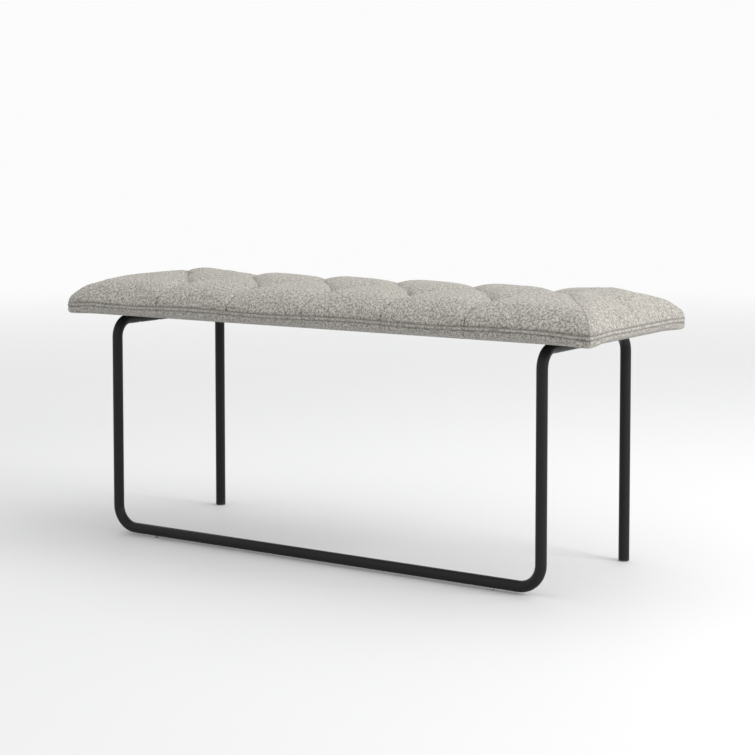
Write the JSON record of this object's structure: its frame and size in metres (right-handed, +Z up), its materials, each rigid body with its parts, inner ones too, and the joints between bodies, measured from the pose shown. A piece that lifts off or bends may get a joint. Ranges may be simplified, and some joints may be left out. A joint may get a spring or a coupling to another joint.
{
  "type": "entryway bench",
  "caption": "Long upholstered bench with a diamond-tufted seat bolted to a bent round-tube frame: a floor runner joins the front legs, and the rear legs stand free.",
  "frame": {"origin": "on the floor, under the middle of the bench", "axes": "+X along the bench to the right as seen from the front, +Y from front to back, +Z up"},
  "size_m": [1.098, 0.37, 0.489],
  "materials": {
    "powder_coat": "satin black powder coat on steel tube",
    "bare_steel": "zinc-plated steel",
    "black_bolt": "black oxide steel",
    "foot_plastic": "matte black moulded plastic",
    "glide_plastic": "clear moulded plastic",
    "staple_wire": "galvanised wire",
    "twine": "waxed nylon twine",
    "anchor_nylon": "natural nylon",
    "plywood": "birch plywood, unfinished",
    "dust_cloth": "black non-woven cloth",
    "seat_fabric": "heathered warm grey woven upholstery cloth",
    "foam": "open-cell polyurethane foam",
    "wadding": "bonded polyester fibre"
  },
  "bodies": {
    "root": {"front_hoop": "powder_coat", "rear_leg_left": "powder_coat", "rear_leg_right": "powder_coat", "joiner_sleeve_left": "bare_steel", "joiner_sleeve_right": "bare_steel", "rear_foot_cap_left": "foot_plastic", "rear_foot_cap_right": "foot_plastic", "front_glide_left": "glide_plastic", "front_glide_right": "glide_plastic", "seat_bolts": "black_bolt", "saddle_washers": "black_bolt", "board_nuts": "bare_steel", "staples": "staple_wire", "tuft_twines": "twine", "twine_anchors": "anchor_nylon", "seat_board": "plywood", "dust_cover": "dust_cloth", "welt_cord": "seat_fabric", "seat_cover": "seat_fabric", "border_band": "seat_fabric", "foam_core": "foam", "fibre_wrap": "wadding"}
  },
  "joints": []
}
